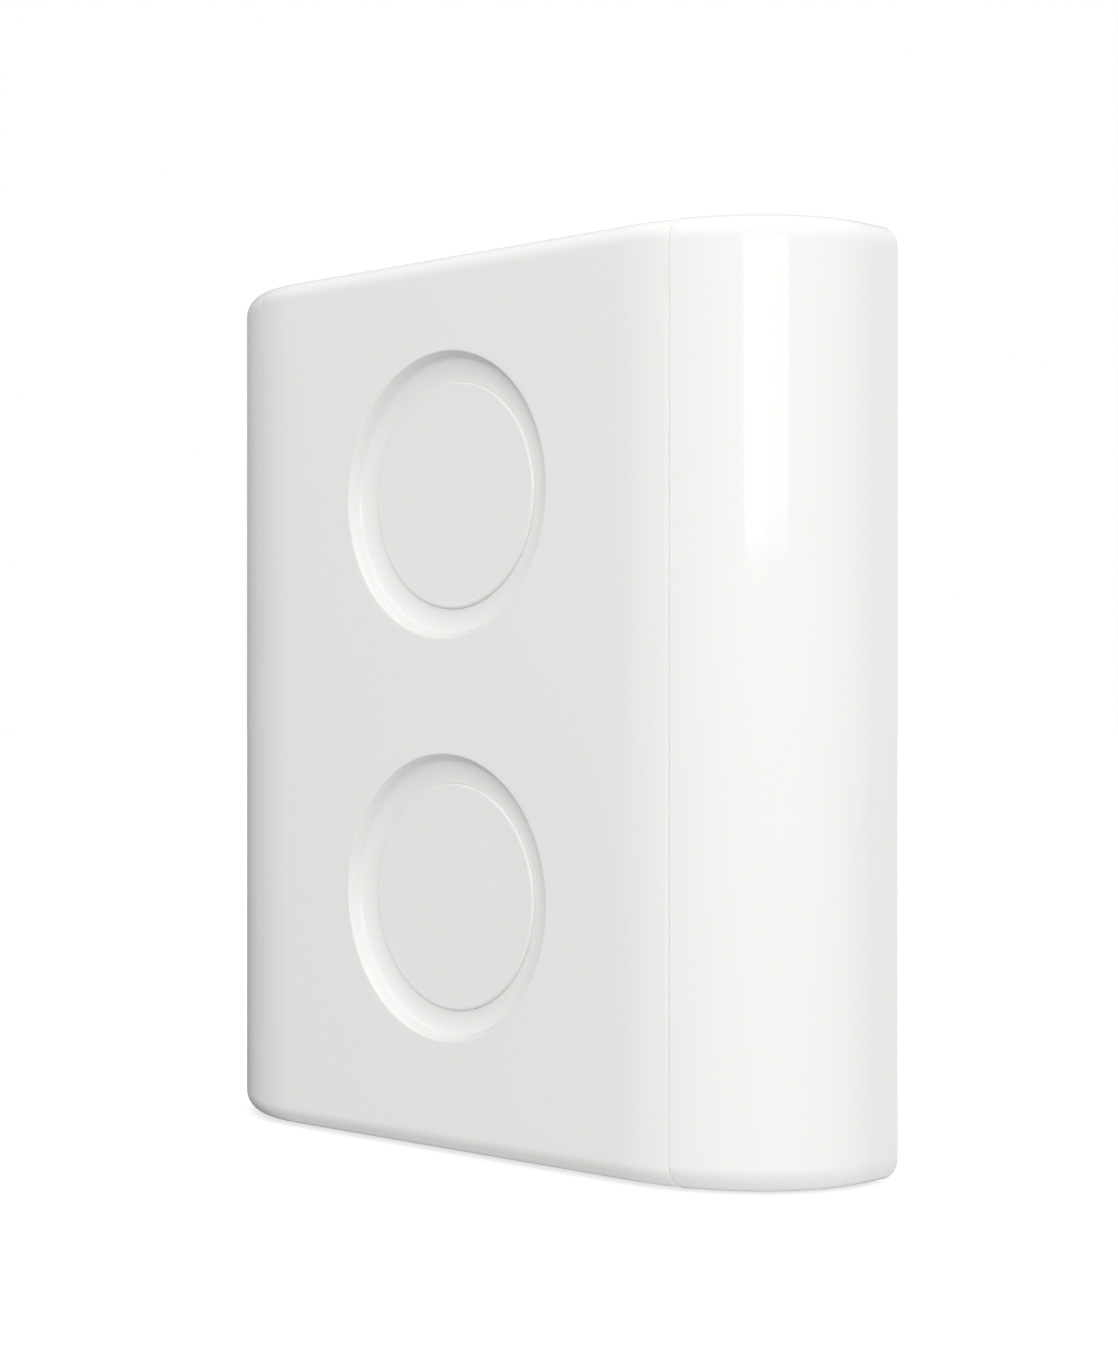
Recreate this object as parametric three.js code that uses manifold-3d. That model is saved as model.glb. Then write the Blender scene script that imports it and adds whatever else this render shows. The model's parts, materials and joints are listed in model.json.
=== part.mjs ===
// Two-button wall doorbell: a rounded white case with two dished push pads, on a hook-on wall plate.
// Millimetres. X runs right as seen from the front, Y from the front face back to the wall, Z up.
// The origin is the middle of the wall plate's back face.
import * as THREE from "three";
import { mergeVertices } from "three/addons/utils/BufferGeometryUtils.js";
import Module from "manifold-3d";

const wasm = await Module();
wasm.setup();

// ---- driving dimensions ----
const WIDTH = 84.2;
const HEIGHT = 90.3;
const DEPTH = 19.4; // wall to front face
const FRONT = -DEPTH;
const WALL_REVEAL = 0.1; // the shells stop this far short of the wall
const BACK = -WALL_REVEAL;
const CORNER_X = 18; // half-axes of the upright corners, which are quarter ellipses
const CORNER_Y = 15.5;
const SKIN = 2; // wall thickness of the shells
const GAP = 0.3; // clearance between neighbours
const SNUG = 0.1; // clearance under parts seated on the board

const SEAM_X = 29.75; // the cover is the middle band of the case, between seams at -X and +X
const CHEEK_EDGE = 2.3; // radius along the top and bottom of the case's cheeks
const COVER_EDGE = 1.95; // the same on the cover
const COVER_STEP = 0.12; // the cover's top and bottom lie this far inside the cheeks'

const PAD_HEIGHTS = { upper: 20.9, lower: -19.5 };
const DISH_RADIUS = 14.4; // crisp rim on the front face
const WALL_FOOT = { radius: 13.75, depth: 1.28 }; // where the dish's wall meets its floor
const GROOVE_DEPTH = 1.62; // lowest part of the dish's floor, beside the cap
const PAD_DEPTH = 1.3; // push pad's face below the front face
const CAP_RADIUS = 11.4;
const CAP_EDGE = 0.3;
const CAP_HOLE = CAP_RADIUS + GAP;
const CAP_FLANGE = { radius: 12.7, front: -15.4, back: -14.7 };
const CAP_STEM = { radius: 2.2, back: -14 };

const COVER_INNER = FRONT + 2.2; // inside of the cover's front wall
const DISH_BOSS = { radius: 16.2, back: -15.7 };
const LIP = { front: -16.2, back: -14.8, inner: 26.5 }; // case lip under the cover's edges
const TRAY_OUT = 42.7; // the case's top and bottom walls, inside the cover's flanges
const TRAY_IN = 41;
const REAR_WALL = { front: -4.7, back: -2.5 };

const CARRIER = { front: -12.8, back: -11.6, halfWidth: 19.5, low: -37, high: 38.4 };
const BOARD = { front: -9, back: -7.4, halfWidth: 24, halfHeight: 32 };
const CASE_BOSSES = { x: 23, z: 36.5, radius: 3, back: -5 };
const CARRIER_BOSSES = { x: 17, high: 35.2, low: -33.8, radius: 2.2, back: -13.1 };
const BOARD_POSTS = { x: 17.5, high: 27, low: -26, radius: 2.4 };
const SCREW_HOLE = 1.5;
const SCREW_SHANK = 1.2;
const HEAD_POCKET = { radius: 2.7, floor: -3.6 }; // for the case screws' heads
const SEAL = { halfX: 29, halfZ: 42.3, innerX: 27, innerZ: 41.2, gap: 0.15 };

const MEMBRANE = { radius: 15.9, front: -15.5, cupInner: 13.4, face: -13.6, back: -13.1 };
const MEMBRANE_HUB = { radius: 2.6, front: -13.7, back: -12.5 };
const SWITCH = { half: 3.1, front: -11.4, bore: 2, boreFloor: -10 };
const PLUNGER = { radius: 1.6, tip: 1.4, front: -12.2, back: -10.9 };
const PLUNGER_HOLE = 3.4; // in the carrier
const LED_X = 7.5;
const LED_WINDOW = 1.8; // in the carrier
const SHIELD = { left: -18.5, right: -8, halfHeight: 5, top: -11.3, foot: -10.1, sheet: 0.3 };
const ANTENNA = { halfWidth: 14, front: -11, back: -10.6, low: 28.5, high: 30.6, leg: 1.5 };
const CAPACITOR = { left: 14, right: 21.3, low: 8, high: 12.3, back: -5.4 };

const PLATE = { front: -2, halfWidth: 39.4, low: -37.4, high: 40.6, window: 15 };
const PLATE_SCREWS = { side: 30, top: 30, radius: 2.2, slide: 2, headRadius: 4.2, sinkDepth: 0.9 };
const TAPE = { x: 25, high: 32.5, low: -31.5, halfX: 8, halfZ: 4.5, depth: 1 };
const LIFT = 3; // the case lifts this far to come off the plate's hooks
const HOOK = { x: 26, heights: [22, -22], halfWidth: 3, halfStem: 1, reach: 3.2, front: -6.1, back: -5 };

const CELL = { radius: 10, front: -6.9, back: -3.7 };
const BATTERY_Z = -17.5;
const HOLDER = { radius: 11.5, back: -5, halfGate: 3 };
const CONTACT = { halfWidth: 2.4, sheet: 0.4, back: -5.2, foot: 3.4 };
const DOOR = {
  flange: 14.6,
  skirt: 12.9,
  skirtIn: 12,
  back: -2.5,
  seat: -3.3,
  lugFront: -6.5,
  lugBack: -5.5,
};
const COIN_SLOT = { halfX: 7, halfZ: 1, depth: 0.5 };
const DOOR_HOLE = 13.3;
const DOOR_SEAL = { inner: 13.45, outer: 14.4 };
const REBATE = { radius: 14.9, floor: -3.9 };
const DOOR_TURN = 60; // degrees from locked to open
const LUG_ANGLES = [90, 210, 330];
const LUG_ARC = 24;

const ROUND = 40; // sides of the large round features
const SMALL_ROUND = 14;
const CORNER_STEPS = 9; // a quarter ellipse gets twice this many sides
const EDGE_STEPS = 5;
const FAR = 60; // beyond every outer face

// ---- solids ----
function solid(geometry) {
  const bare = geometry.index ? geometry.toNonIndexed() : geometry.clone();
  for (const name of Object.keys(bare.attributes)) {
    if (name !== "position") bare.deleteAttribute(name);
  }
  const merged = mergeVertices(bare, 1e-4);
  const mesh = new wasm.Mesh({
    numProp: 3,
    vertProperties: merged.attributes.position.array,
    triVerts: new Uint32Array(merged.index.array),
  });
  return new wasm.Manifold(mesh);
}

function geometryOf(body) {
  const mesh = body.getMesh();
  const geometry = new THREE.BufferGeometry();
  geometry.setAttribute("position", new THREE.BufferAttribute(mesh.vertProperties, 3));
  geometry.setIndex(new THREE.BufferAttribute(mesh.triVerts, 1));
  return geometry;
}

function block(x0, x1, y0, y1, z0, z1) {
  const geometry = new THREE.BoxGeometry(x1 - x0, y1 - y0, z1 - z0);
  geometry.translate((x0 + x1) / 2, (y0 + y1) / 2, (z0 + z1) / 2);
  return solid(geometry);
}

// A block centred on X, with its height centred on Z.
function slab(halfX, y0, y1, halfZ) {
  return block(-halfX, halfX, y0, y1, -halfZ, halfZ);
}

function rod(x, z, radius, y0, y1, sides = SMALL_ROUND) {
  const geometry = new THREE.CylinderGeometry(radius, radius, y1 - y0, sides);
  geometry.translate(x, (y0 + y1) / 2, z);
  return solid(geometry);
}

// A turned piece about an axis along Y through (x, z). The profile lists [radius, y], back to front.
function turned(x, z, profile, sides = ROUND) {
  const points = profile.map(([radius, y]) => new THREE.Vector2(radius, y)).reverse();
  const geometry = new THREE.LatheGeometry(points, sides);
  geometry.translate(x, 0, z);
  return solid(geometry);
}

// An outline in X and Z, extruded along Y from y0 to y1.
function plate(shape, y0, y1, steps = 4) {
  const geometry = new THREE.ExtrudeGeometry(shape, {
    depth: y1 - y0,
    bevelEnabled: false,
    curveSegments: steps,
  });
  geometry.rotateX(Math.PI / 2);
  geometry.translate(0, y1, 0);
  return solid(geometry);
}

function roundedRectangle(x0, x1, z0, z1, radius) {
  const shape = new THREE.Shape();
  shape.moveTo(x0 + radius, z0);
  shape.lineTo(x1 - radius, z0);
  shape.absarc(x1 - radius, z0 + radius, radius, -Math.PI / 2, 0, false);
  shape.lineTo(x1, z1 - radius);
  shape.absarc(x1 - radius, z1 - radius, radius, 0, Math.PI / 2, false);
  shape.lineTo(x0 + radius, z1);
  shape.absarc(x0 + radius, z1 - radius, radius, Math.PI / 2, Math.PI, false);
  shape.lineTo(x0, z0 + radius);
  shape.absarc(x0 + radius, z0 + radius, radius, Math.PI, Math.PI * 1.5, false);
  return shape;
}

// A wedge of a ring about the battery's axis, centred on an angle in degrees from +X towards +Z.
function ringSector(inner, outer, angle, arc, y0, y1) {
  const from = THREE.MathUtils.degToRad(angle - arc / 2);
  const to = THREE.MathUtils.degToRad(angle + arc / 2);
  const shape = new THREE.Shape();
  shape.absarc(0, BATTERY_Z, outer, from, to, false);
  shape.absarc(0, BATTERY_Z, inner, to, from, true);
  return plate(shape, y0, y1, 3);
}

// Seen from above: flat front, elliptical corners, sides running straight back past the wall plane.
function bodyOutline(inset) {
  const side = WIDTH / 2 - inset;
  const front = FRONT + inset;
  const cornerX = CORNER_X - inset;
  const cornerY = CORNER_Y - inset;
  const shape = new THREE.Shape();
  shape.moveTo(side, FAR / 10);
  shape.lineTo(-side, FAR / 10);
  shape.lineTo(-side, front + cornerY);
  shape.absellipse(-side + cornerX, front + cornerY, cornerX, cornerY, Math.PI, Math.PI * 1.5, false);
  shape.lineTo(side - cornerX, front);
  shape.absellipse(side - cornerX, front + cornerY, cornerX, cornerY, -Math.PI / 2, 0, false);
  return shape;
}

// The whole outer form, with a rounded edge along its top and bottom.
function outerBody(halfHeight, edge) {
  const straight = 2 * (halfHeight - edge);
  const geometry = new THREE.ExtrudeGeometry(bodyOutline(0), {
    depth: straight,
    curveSegments: CORNER_STEPS,
    bevelThickness: edge,
    bevelSize: edge,
    bevelOffset: -edge,
    bevelSegments: EDGE_STEPS,
  });
  geometry.translate(0, 0, -straight / 2);
  return solid(geometry).intersect(block(-FAR, FAR, -FAR, BACK, -FAR, FAR));
}

function innerBody(inset, halfHeight, y0, y1) {
  const geometry = new THREE.ExtrudeGeometry(bodyOutline(inset), {
    depth: 2 * halfHeight,
    bevelEnabled: false,
    curveSegments: CORNER_STEPS,
  });
  geometry.translate(0, 0, -halfHeight);
  return solid(geometry).intersect(block(-FAR, FAR, y0, y1, -FAR, FAR));
}

const quarters = (x, high, low) => [
  [x, high],
  [-x, high],
  [x, low],
  [-x, low],
];
const CASE_SCREW_SPOTS = quarters(CASE_BOSSES.x, CASE_BOSSES.z, -CASE_BOSSES.z);
const CARRIER_SCREW_SPOTS = quarters(CARRIER_BOSSES.x, CARRIER_BOSSES.high, CARRIER_BOSSES.low);
const TAPE_SPOTS = quarters(TAPE.x, TAPE.high, TAPE.low);
const BOARD_SCREW_SPOTS = quarters(BOARD_POSTS.x, BOARD_POSTS.high, BOARD_POSTS.low);

// ---- shells ----
// The hollow of a dish: a steep wall from the rim, a shallow floor down to the groove, and the cap's hole.
function dishCutter(z) {
  const run = WALL_FOOT.radius - CAP_HOLE;
  const sweep = 2 * Math.atan((GROOVE_DEPTH - WALL_FOOT.depth) / run);
  const radius = run / Math.sin(sweep);
  const profile = [
    [0, DISH_BOSS.back + 1],
    [CAP_HOLE, DISH_BOSS.back + 1],
  ];
  const steps = 4;
  for (let i = 0; i <= steps; i++) {
    const turn = (sweep * i) / steps;
    const y = FRONT + GROOVE_DEPTH - radius * (1 - Math.cos(turn));
    profile.push([CAP_HOLE + radius * Math.sin(turn), y]);
  }
  profile.push([DISH_RADIUS, FRONT], [DISH_RADIUS, FRONT - 1], [0, FRONT - 1]);
  return turned(0, z, profile);
}

function frontCover() {
  const halfHeight = HEIGHT / 2 - COVER_STEP;
  let cover = outerBody(halfHeight, COVER_EDGE);
  cover = cover.intersect(slab(SEAM_X - GAP / 2, -FAR, FAR, FAR));
  cover = cover.subtract(slab(FAR, COVER_INNER, FAR, halfHeight - SKIN));
  for (const z of Object.values(PAD_HEIGHTS)) {
    cover = cover.add(rod(0, z, DISH_BOSS.radius, COVER_INNER - 0.5, DISH_BOSS.back, ROUND));
  }
  for (const [x, z] of CARRIER_SCREW_SPOTS) {
    cover = cover.add(rod(x, z, CARRIER_BOSSES.radius, COVER_INNER - 0.5, CARRIER_BOSSES.back));
    cover = cover.subtract(rod(x, z, SCREW_HOLE, COVER_INNER + 0.5, FAR));
  }
  for (const [x, z] of CASE_SCREW_SPOTS) {
    cover = cover.add(rod(x, z, CASE_BOSSES.radius, COVER_INNER - 0.5, CASE_BOSSES.back));
    cover = cover.subtract(rod(x, z, SCREW_HOLE, COVER_INNER + 2, FAR));
  }
  for (const z of Object.values(PAD_HEIGHTS)) cover = cover.subtract(dishCutter(z));
  return geometryOf(cover);
}

function rearHousing() {
  const slot = SEAM_X + GAP / 2;
  let housing = outerBody(HEIGHT / 2, CHEEK_EDGE);
  housing = housing.subtract(slab(slot, -FAR, LIP.front, FAR));
  housing = housing.subtract(block(-slot, slot, -FAR, FAR, TRAY_OUT, FAR));
  housing = housing.subtract(block(-slot, slot, -FAR, FAR, -FAR, -TRAY_OUT));
  housing = housing.subtract(innerBody(SKIN, TRAY_IN, LIP.back, REAR_WALL.front));
  housing = housing.subtract(slab(LIP.inner, -FAR, LIP.back + 1, TRAY_IN));
  housing = housing.subtract(innerBody(SKIN, TRAY_IN, REAR_WALL.back, FAR));
  const collar = { radius: REBATE.radius + 2.6, front: REAR_WALL.front - 0.5 };
  housing = housing.add(rod(0, BATTERY_Z, collar.radius, collar.front, REAR_WALL.front + 0.5, ROUND));
  housing = housing.subtract(rod(0, BATTERY_Z, DOOR_HOLE, -7, 0, ROUND));
  housing = housing.subtract(rod(0, BATTERY_Z, REBATE.radius, REBATE.floor, 0, ROUND));
  for (const angle of LUG_ANGLES) {
    housing = housing.subtract(ringSector(12, REBATE.radius, angle - DOOR_TURN, LUG_ARC + 6, -7, 0));
  }
  for (const [x, z] of CASE_SCREW_SPOTS) {
    housing = housing.subtract(rod(x, z, SCREW_HOLE, -7, 0));
    housing = housing.subtract(rod(x, z, HEAD_POCKET.radius, HEAD_POCKET.floor, 0));
  }
  for (const [x, z] of hookSpots()) {
    const halfX = HOOK.halfWidth + GAP + 0.1;
    const low = z - HOOK.halfStem - LIFT - GAP;
    housing = housing.subtract(block(x - halfX, x + halfX, -7, 0, low, z + HOOK.halfStem + GAP));
  }
  return geometryOf(housing);
}

function coverSeal() {
  const { halfX, halfZ, innerX, innerZ, gap } = SEAL;
  const frame = roundedRectangle(-halfX, halfX, -halfZ, halfZ, 2);
  frame.holes.push(roundedRectangle(-innerX, innerX, -innerZ, innerZ, 1));
  return geometryOf(plate(frame, COVER_INNER + gap, LIP.front - gap));
}

// ---- wall plate ----
function hookSpots() {
  return HOOK.heights.flatMap((z) => [
    [HOOK.x, z],
    [-HOOK.x, z],
  ]);
}

// A slot for a screw of the given radius, which may slide by slideX and slideZ either way.
function slotShape(x, z, slideX, slideZ, radius) {
  const reachX = slideX + radius;
  const reachZ = slideZ + radius;
  return roundedRectangle(x - reachX, x + reachX, z - reachZ, z + reachZ, radius - 0.01);
}

function tapePatch(x, z, margin, y0, y1) {
  const halfX = TAPE.halfX + margin;
  const halfZ = TAPE.halfZ + margin;
  return plate(roundedRectangle(x - halfX, x + halfX, z - halfZ, z + halfZ, 1), y0, y1, 3);
}

function adhesiveTape(x, z) {
  return geometryOf(tapePatch(x, z, 0, SNUG / 2 - TAPE.depth, -SNUG / 2));
}

function wallPlate() {
  const outline = roundedRectangle(-PLATE.halfWidth, PLATE.halfWidth, PLATE.low, PLATE.high, 3);
  let sheet = plate(outline, PLATE.front, 0);
  sheet = sheet.subtract(rod(0, BATTERY_Z, PLATE.window, -3, 1, ROUND));
  const { side, top, radius, slide, headRadius, sinkDepth } = PLATE_SCREWS;
  for (const [x, z, slideX, slideZ] of [
    [side, 0, slide, 0],
    [-side, 0, slide, 0],
    [0, top, 0, slide],
  ]) {
    sheet = sheet.subtract(plate(slotShape(x, z, slideX, slideZ, radius), -3, 1));
    sheet = sheet.subtract(plate(slotShape(x, z, slideX, slideZ, headRadius), -3, PLATE.front + sinkDepth));
  }
  for (const [x, z] of TAPE_SPOTS) {
    sheet = sheet.subtract(tapePatch(x, z, 0.2, -TAPE.depth, 1));
  }
  for (const [x, z] of hookSpots()) {
    const { halfWidth, halfStem, reach, front, back } = HOOK;
    const left = x - halfWidth;
    const right = x + halfWidth;
    sheet = sheet.add(block(left, right, front, -1, z - halfStem, z + halfStem));
    sheet = sheet.add(block(left, right, front, back, z - halfStem, z + reach));
  }
  return geometryOf(sheet);
}

// ---- buttons ----
function buttonCap(z) {
  const face = FRONT + PAD_DEPTH;
  const profile = [
    [0, CAP_STEM.back],
    [CAP_STEM.radius, CAP_STEM.back],
    [CAP_STEM.radius, CAP_FLANGE.back],
    [CAP_FLANGE.radius, CAP_FLANGE.back],
    [CAP_FLANGE.radius, CAP_FLANGE.front],
    [CAP_RADIUS, CAP_FLANGE.front],
  ];
  const steps = 3;
  for (let i = 0; i <= steps; i++) {
    const turn = (Math.PI / 2) * (i / steps);
    const radius = CAP_RADIUS - CAP_EDGE * (1 - Math.cos(turn));
    profile.push([radius, face + CAP_EDGE * (1 - Math.sin(turn))]);
  }
  profile.push([0, face]);
  return geometryOf(turned(0, z, profile));
}

function buttonMembrane(z) {
  const { radius, front, cupInner, face, back } = MEMBRANE;
  const hub = MEMBRANE_HUB;
  const profile = [
    [0, hub.back],
    [hub.radius, hub.back],
    [hub.radius, back],
    [radius, back],
    [radius, front],
    [cupInner, front],
    [cupInner, face],
    [hub.radius, face],
    [hub.radius, hub.front],
    [0, hub.front],
  ];
  return geometryOf(turned(0, z, profile, 28));
}

function buttonCarrier() {
  const { front, back, halfWidth, low, high } = CARRIER;
  let carrier = plate(roundedRectangle(-halfWidth, halfWidth, low, high, 3), front, back);
  for (const [x, z] of BOARD_SCREW_SPOTS) {
    carrier = carrier.add(rod(x, z, BOARD_POSTS.radius, back - 0.5, BOARD.front - SNUG));
    carrier = carrier.subtract(rod(x, z, SCREW_HOLE, back - 0.7, 0));
  }
  for (const [x, z] of CARRIER_SCREW_SPOTS) carrier = carrier.subtract(rod(x, z, SCREW_HOLE, -FAR, 0));
  for (const z of Object.values(PAD_HEIGHTS)) {
    carrier = carrier.subtract(rod(0, z, PLUNGER_HOLE, -FAR, 0));
    carrier = carrier.subtract(rod(LED_X, z, LED_WINDOW, -FAR, 0));
  }
  return geometryOf(carrier);
}

// ---- switches and board ----
function switchBody(z) {
  const { half, front, bore, boreFloor } = SWITCH;
  const outline = roundedRectangle(-half, half, z - half, z + half, 0.5);
  let body = plate(outline, front, BOARD.front - SNUG, 2);
  body = body.subtract(rod(0, z, bore, -FAR, boreFloor));
  return geometryOf(body);
}

function switchPlunger(z) {
  const { radius, tip, front, back } = PLUNGER;
  const profile = [
    [0, back],
    [radius, back],
    [radius, front + radius - tip],
    [tip, front],
    [0, front],
  ];
  return geometryOf(turned(0, z, profile, 20));
}

function mainBoard() {
  const { front, back, halfWidth, halfHeight } = BOARD;
  let board = plate(roundedRectangle(-halfWidth, halfWidth, -halfHeight, halfHeight, 2), front, back);
  for (const [x, z] of BOARD_SCREW_SPOTS) board = board.subtract(rod(x, z, SCREW_HOLE, -FAR, 0));
  return geometryOf(board);
}

// A flat package seated on the board's front side, its corners rounded.
function frontPackage(x, z, halfX, halfZ, height, corner) {
  const seat = BOARD.front - SNUG;
  const outline = roundedRectangle(x - halfX, x + halfX, z - halfZ, z + halfZ, corner);
  return geometryOf(plate(outline, seat - height, seat, 2));
}

function radioShield() {
  const { left, right, halfHeight, top, foot, sheet } = SHIELD;
  const can = plate(roundedRectangle(left, right, -halfHeight, halfHeight, 0.8), top, foot, 2);
  const inner = halfHeight - sheet;
  return geometryOf(can.subtract(block(left + sheet, right - sheet, top + sheet, 0, -inner, inner)));
}

function antennaStrip() {
  const { halfWidth, front, back, low, high, leg } = ANTENNA;
  let strip = block(-halfWidth, halfWidth, front, back, low, high);
  for (const x of [-halfWidth, -halfWidth + 4 * leg]) {
    strip = strip.add(block(x, x + leg, front, BOARD.front - SNUG, high - 0.4, high));
  }
  return geometryOf(strip);
}

function storageCapacitor() {
  const { left, right, low, high, back } = CAPACITOR;
  return geometryOf(plate(roundedRectangle(left, right, low, high, 0.4), BOARD.back + SNUG, back, 2));
}

// ---- coin cell and its door ----
function batteryHolder() {
  const y0 = BOARD.back + SNUG;
  let ring = rod(0, BATTERY_Z, HOLDER.radius, y0, HOLDER.back, ROUND);
  ring = ring.subtract(rod(0, BATTERY_Z, CELL.radius + GAP, -FAR, 0, ROUND));
  ring = ring.subtract(block(-HOLDER.halfGate, HOLDER.halfGate, -FAR, 0, BATTERY_Z, FAR));
  return geometryOf(ring);
}

function batteryCell() {
  const { radius, front, back } = CELL;
  return geometryOf(
    turned(0, BATTERY_Z, [
      [0, back],
      [radius - 0.3, back],
      [radius, back - 0.3],
      [radius, front + 0.9],
      [radius - 0.9, front + 0.8],
      [radius - 1.2, front],
      [0, front],
    ]),
  );
}

function positiveContact() {
  const y0 = BOARD.back + SNUG;
  const { halfWidth, sheet, back, foot } = CONTACT;
  const near = BATTERY_Z + CELL.radius + GAP / 2;
  const upright = block(-halfWidth, halfWidth, y0, back, near, near + sheet);
  return geometryOf(upright.add(block(-halfWidth, halfWidth, y0, y0 + 0.3, near, near + foot)));
}

function negativeContact() {
  const y0 = BOARD.back + SNUG;
  const outline = roundedRectangle(-8, 8, BATTERY_Z - 1.6, BATTERY_Z + 1.6, 1.2);
  return geometryOf(plate(outline, y0, y0 + 0.2, 3));
}

function batteryDoor() {
  const { flange, skirt, skirtIn, back, seat, lugFront, lugBack } = DOOR;
  let door = turned(0, BATTERY_Z, [
    [0, back],
    [flange - 0.3, back],
    [flange, back - 0.3],
    [flange, seat],
    [skirt, seat],
    [skirt, lugFront],
    [skirtIn, lugFront],
    [skirtIn, seat],
    [0, seat],
  ]);
  for (const angle of LUG_ANGLES) {
    door = door.add(ringSector(skirtIn + 0.4, flange, angle, LUG_ARC, lugFront, lugBack));
  }
  const { halfX, halfZ, depth } = COIN_SLOT;
  const coinSlot = block(-halfX, halfX, back - depth, 0, BATTERY_Z - halfZ, BATTERY_Z + halfZ);
  return geometryOf(door.subtract(coinSlot));
}

function doorSeal() {
  const { inner, outer } = DOOR_SEAL;
  const back = DOOR.seat - SNUG;
  const front = REBATE.floor + SNUG;
  const profile = [
    [inner, back],
    [outer, back],
    [outer, front],
    [inner, front],
    [inner, back],
  ];
  return geometryOf(turned(0, BATTERY_Z, profile));
}

// ---- fasteners ----
// A pan-head screw driven from the back, its head's underside at y and its tip at tipY.
function screw(x, z, y, tipY, headRadius = 2, headHeight = 1.1) {
  return geometryOf(
    turned(x, z, [
      [0, y + headHeight - 0.6],
      [0.7, y + headHeight - 0.6],
      [0.9, y + headHeight],
      [headRadius - 0.5, y + headHeight],
      [headRadius, y + headHeight - 0.5],
      [headRadius, y],
      [SCREW_SHANK, y],
      [SCREW_SHANK, tipY + 0.8],
      [0, tipY],
    ], SMALL_ROUND),
  );
}

// ---- materials ----
const finish = (color, roughness, metalness = 0) =>
  new THREE.MeshStandardMaterial({ color, roughness, metalness });
const glossWhite = () => finish(0xe9e9e7, 0.22);
const satinWhite = () => finish(0xdcdcd9, 0.5);
const greyPlastic = () => finish(0xb9bab8, 0.6);
const silicone = () => finish(0xd3d3cf, 0.75);
const foam = () => finish(0xc9c9c4, 0.95);
const boardGreen = () => finish(0x1d5a38, 0.45);
const blackResin = () => finish(0x1c1c1e, 0.5);
const clearResin = () => finish(0xf2efe0, 0.25);
const brightMetal = () => finish(0xc4c5c6, 0.3, 1);
const screwSteel = () => finish(0x9b9c9e, 0.35, 1);

// ---- assembly ----
const doorbell = new THREE.Group();

function add(name, geometry, material) {
  const mesh = new THREE.Mesh(geometry, material);
  mesh.name = name;
  doorbell.add(mesh);
}

function addScrews(name, spots, headY, tipY, headRadius) {
  spots.forEach(([x, z], i) => add(`${name}_${i + 1}`, screw(x, z, headY, tipY, headRadius), screwSteel()));
}

add("wall_plate", wallPlate(), satinWhite());
TAPE_SPOTS.forEach(([x, z], i) => add(`adhesive_tape_${i + 1}`, adhesiveTape(x, z), foam()));
add("rear_housing", rearHousing(), glossWhite());
add("front_cover", frontCover(), glossWhite());
add("cover_seal", coverSeal(), silicone());
add("button_carrier", buttonCarrier(), greyPlastic());
add("main_board", mainBoard(), boardGreen());

for (const [place, z] of Object.entries(PAD_HEIGHTS)) {
  add(`${place}_button_cap`, buttonCap(z), glossWhite());
  add(`${place}_button_membrane`, buttonMembrane(z), silicone());
  add(`${place}_switch_body`, switchBody(z), blackResin());
  add(`${place}_switch_plunger`, switchPlunger(z), greyPlastic());
  add(`${place}_status_led`, frontPackage(LED_X, z, 1, 0.6, 0.9, 0.2), clearResin());
}

add("radio_board", frontPackage(-12.5, 0, 7.5, 6, 0.8, 0.5), boardGreen());
add("radio_shield", radioShield(), brightMetal());
add("processor_chip", frontPackage(4.5, 1, 3.5, 3.5, 1, 0.2), blackResin());
add("timing_crystal", frontPackage(12.6, 0.5, 1.6, 2.5, 0.8, 0.5), brightMetal());
add("antenna_strip", antennaStrip(), brightMetal());
add("storage_capacitor", storageCapacitor(), blackResin());

add("battery_holder", batteryHolder(), blackResin());
add("battery_cell", batteryCell(), brightMetal());
add("positive_contact", positiveContact(), brightMetal());
add("negative_contact", negativeContact(), brightMetal());
add("battery_door_seal", doorSeal(), silicone());
add("battery_door", batteryDoor(), satinWhite());

addScrews("case_screw", CASE_SCREW_SPOTS, HEAD_POCKET.floor + SNUG, -13, 2.2);
addScrews("carrier_screw", CARRIER_SCREW_SPOTS, CARRIER.back + SNUG, -16, 1.9);
addScrews("board_screw", BOARD_SCREW_SPOTS, BOARD.back + SNUG, -11.8, 1.9);

export default doorbell;
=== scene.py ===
"""The looks of a two-button wall doorbell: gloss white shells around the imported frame.

Mesh code works in millimetres in the row frame: X right as seen from the front, Y from the front
face back to the wall, Z up. Each piece is turned into metres when it is made.
"""

import json
import math

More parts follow.
